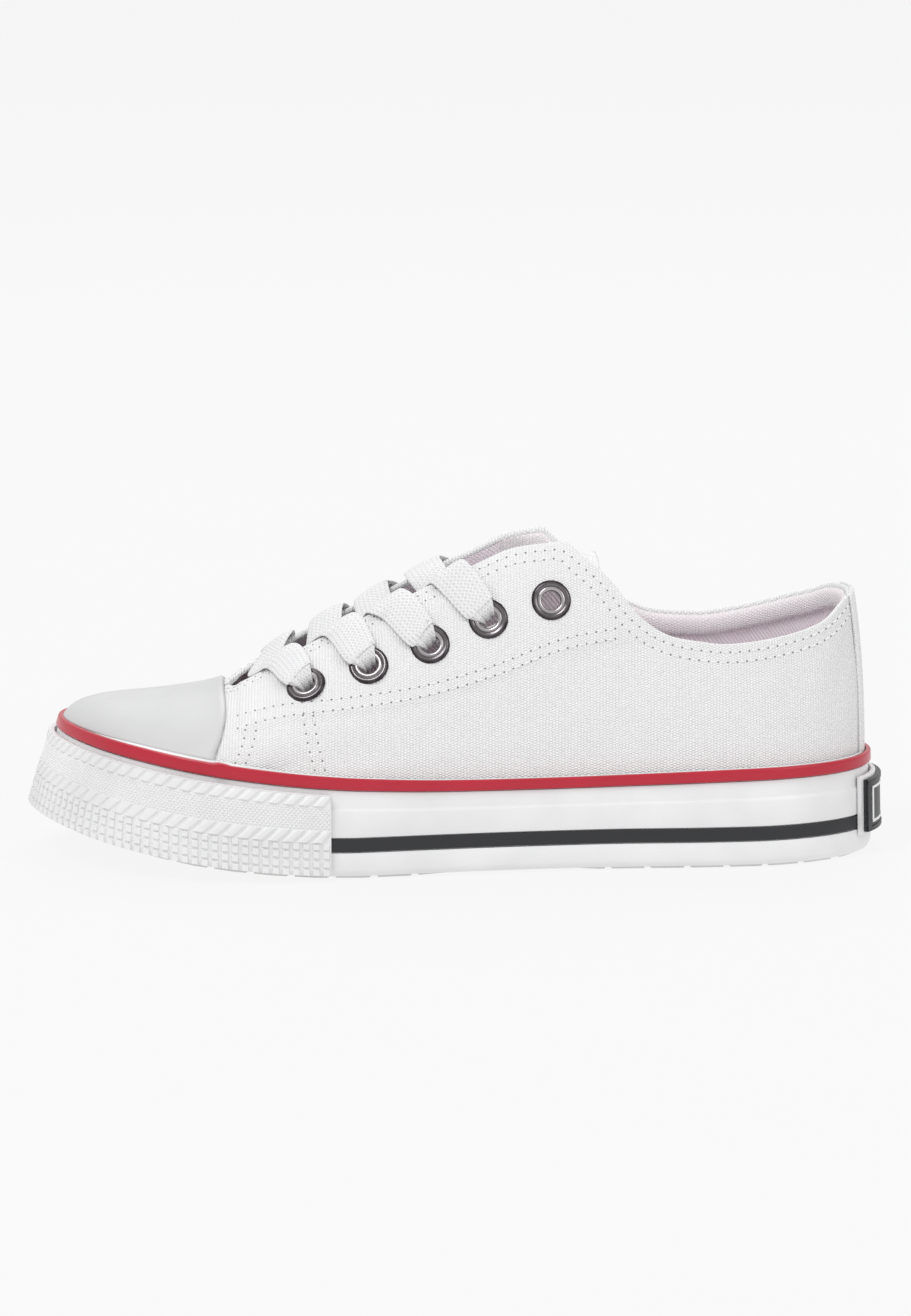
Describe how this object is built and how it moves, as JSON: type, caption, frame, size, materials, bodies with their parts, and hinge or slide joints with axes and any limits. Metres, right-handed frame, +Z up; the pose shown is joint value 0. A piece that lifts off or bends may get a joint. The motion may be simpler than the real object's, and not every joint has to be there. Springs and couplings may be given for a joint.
{
  "type": "low-top canvas sneaker",
  "caption": "Low-top canvas lace-up sneaker for the left foot, with rubber foxing, a textured toe bumper, a smooth toe cap and flat laces.",
  "frame": {"origin": "middle of the footprint, on the floor under the sole", "axes": "-X toward the toe, +X toward the heel, -Y the lateral side, +Y the medial side, +Z up"},
  "size_m": [0.2594, 0.0949, 0.0983],
  "materials": {
    "outsole_rubber": "matt white rubber",
    "white_rubber": "smooth white rubber",
    "bumper_rubber": "textured white rubber",
    "red_rubber": "glossy red rubber",
    "black_rubber": "satin black rubber",
    "label_rubber": "satin black rubber, bare",
    "canvas": "white ribbed canvas",
    "cap": "smooth coated cloth",
    "insole_cloth": "lilac pink twill",
    "lace": "flat woven cotton",
    "gunmetal": "dark gunmetal plating"
  },
  "bodies": {
    "root": {"outsole": "outsole_rubber", "foxing": "white_rubber", "toe_bumper": "bumper_rubber", "red_strip": "red_rubber", "black_stripe": "black_rubber", "heel_label_base": "white_rubber", "heel_label": "label_rubber", "insole": "insole_cloth", "upper": "canvas", "toe_cap": "cap", "backstay": "canvas", "tongue": "canvas", "lace_bar_1": "lace", "lace_cross_2": "lace", "lace_cross_3": "lace", "lace_cross_4": "lace", "eyelet_lateral_1": "gunmetal", "eyelet_lateral_2": "gunmetal", "eyelet_lateral_3": "gunmetal", "eyelet_lateral_4": "gunmetal", "eyelet_lateral_5": "gunmetal", "eyelet_medial_1": "gunmetal", "eyelet_medial_2": "gunmetal", "eyelet_medial_3": "gunmetal", "eyelet_medial_4": "gunmetal", "eyelet_medial_5": "gunmetal"}
  },
  "joints": []
}
